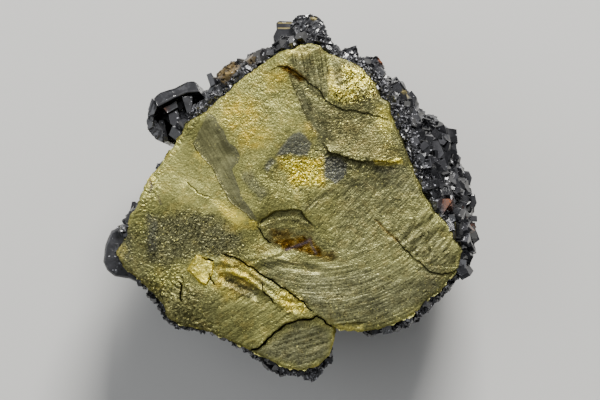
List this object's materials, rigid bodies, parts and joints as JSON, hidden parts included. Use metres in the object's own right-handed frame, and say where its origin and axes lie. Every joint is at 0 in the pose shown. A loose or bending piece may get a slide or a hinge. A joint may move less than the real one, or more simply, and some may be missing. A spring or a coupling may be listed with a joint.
{
  "type": "chalcopyrite specimen",
  "caption": "Broken lump of massive chalcopyrite with a striated brassy face, its flank crusted with black blocky sphalerite crystals.",
  "frame": {"origin": "middle of the flat patch underneath that the specimen rests on", "axes": "+Z up, out of the broken face; +X to the right and +Y up as the broken face is seen from straight above"},
  "size_m": [0.0798, 0.0781, 0.0366],
  "materials": {
    "chalcopyrite": "brassy olive-gold, dull metallic, striated",
    "black_sphalerite": "glossy black"
  },
  "bodies": {
    "root": {"chalcopyrite_mass": "chalcopyrite", "main_crystal_crust": "black_sphalerite", "lower_left_crystal_crust": "black_sphalerite", "small_left_crystal": "black_sphalerite"}
  },
  "joints": []
}
